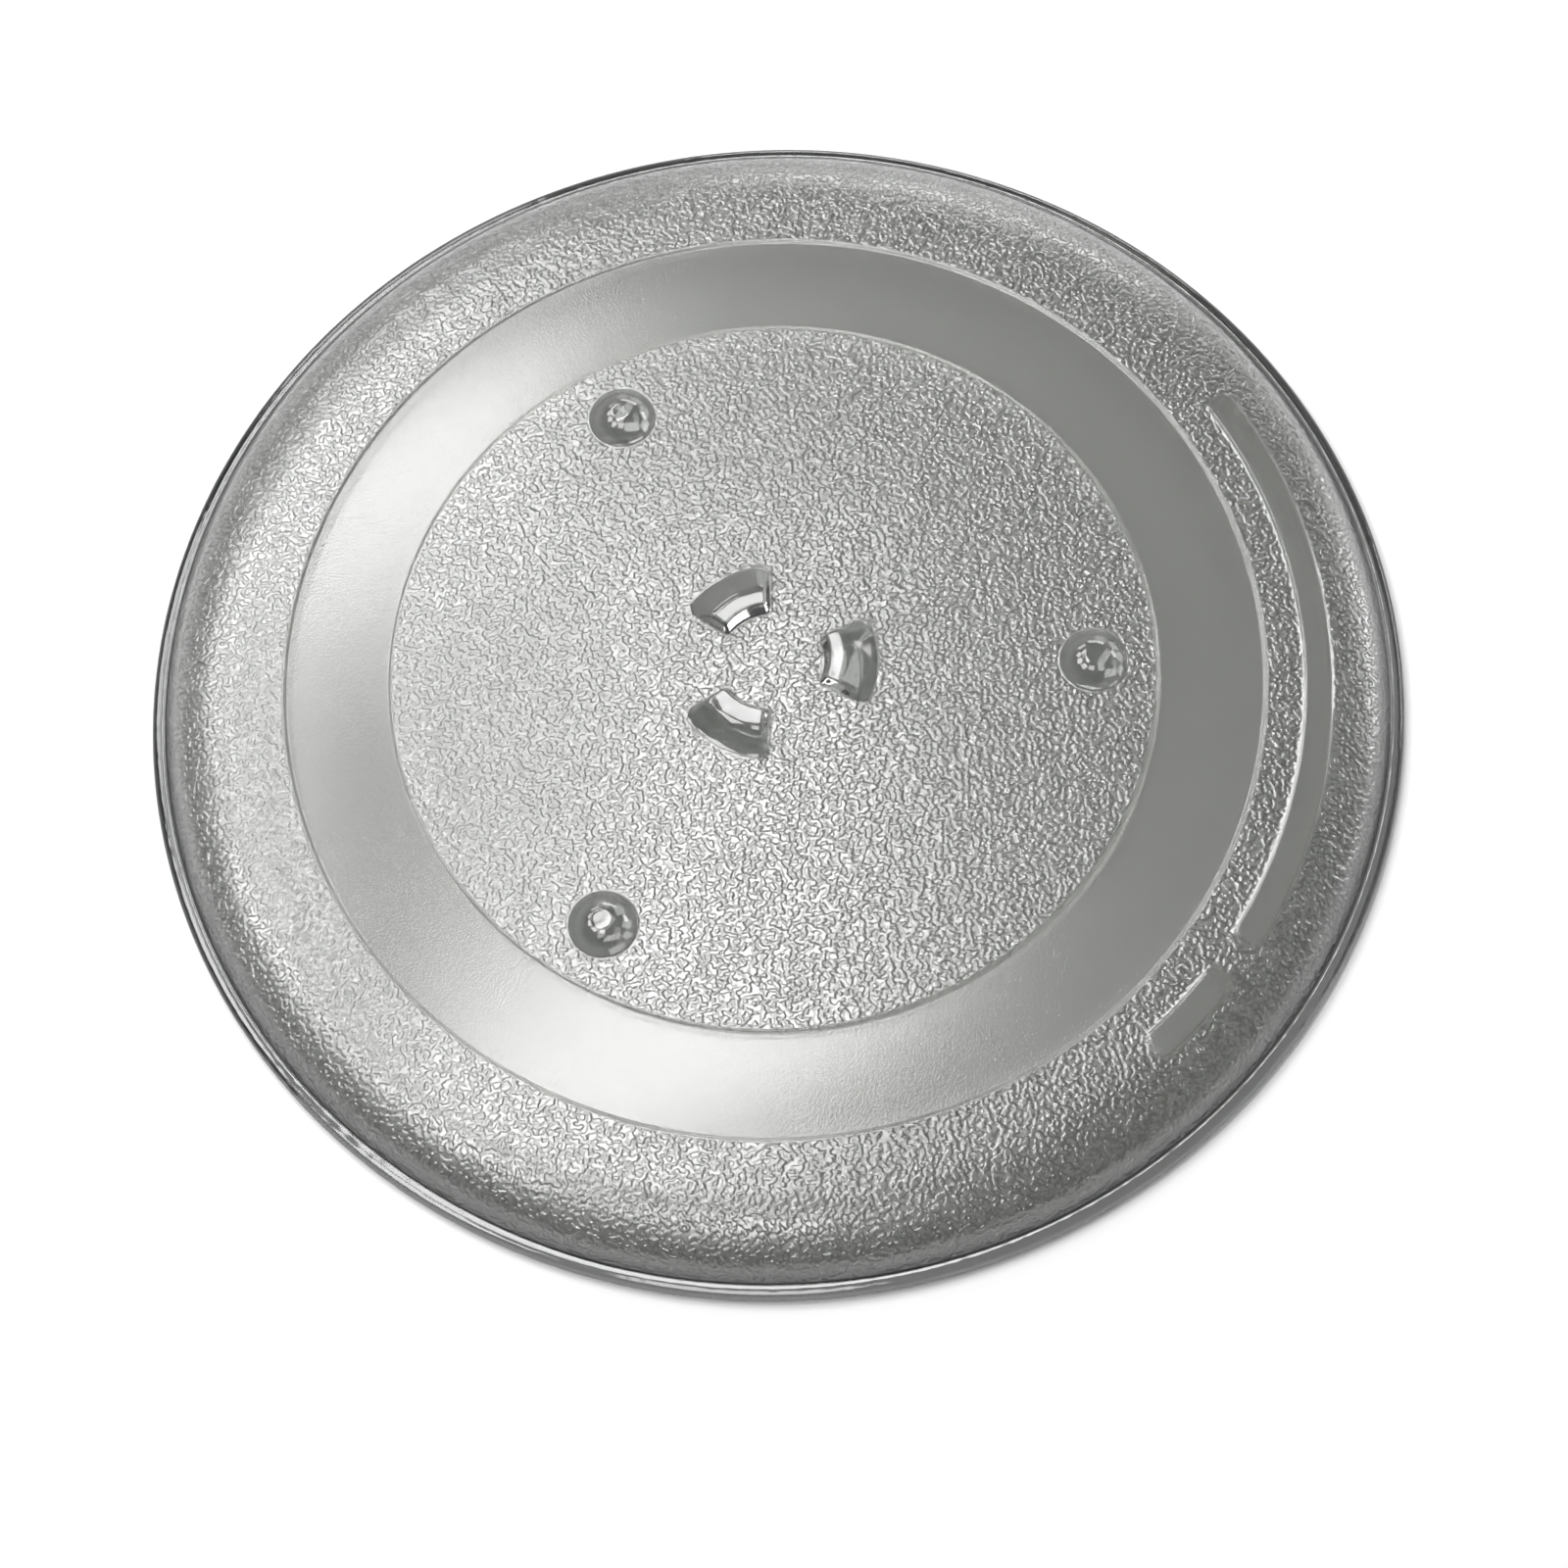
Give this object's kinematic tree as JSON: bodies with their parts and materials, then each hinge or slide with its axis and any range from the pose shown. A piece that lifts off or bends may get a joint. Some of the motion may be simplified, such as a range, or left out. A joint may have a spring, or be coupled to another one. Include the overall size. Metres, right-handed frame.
{
  "type": "microwave turntable plate",
  "caption": "Round pressed-glass microwave turntable plate, underside up: stippled disc, smooth roller track, fan-shaped drive lugs at the centre, domed feet and a sloped wall with a round lip.",
  "frame": {"origin": "centre of the rim's rest plane: the plate lies on its rim with the underside up, as in the picture, and is turned over in use", "axes": "+Z along the plate's axis from the cooking face to the underside, +X along the radial line of one drive lug and its foot"},
  "size_m": [0.288, 0.288, 0.0156],
  "materials": {
    "pressed_glass": "clear pressed glass with a faint grey-green tint, stippled underside, satin roller track, polished lugs, feet and rim"
  },
  "bodies": {
    "root": {"turntable_plate": "pressed_glass"}
  },
  "joints": []
}
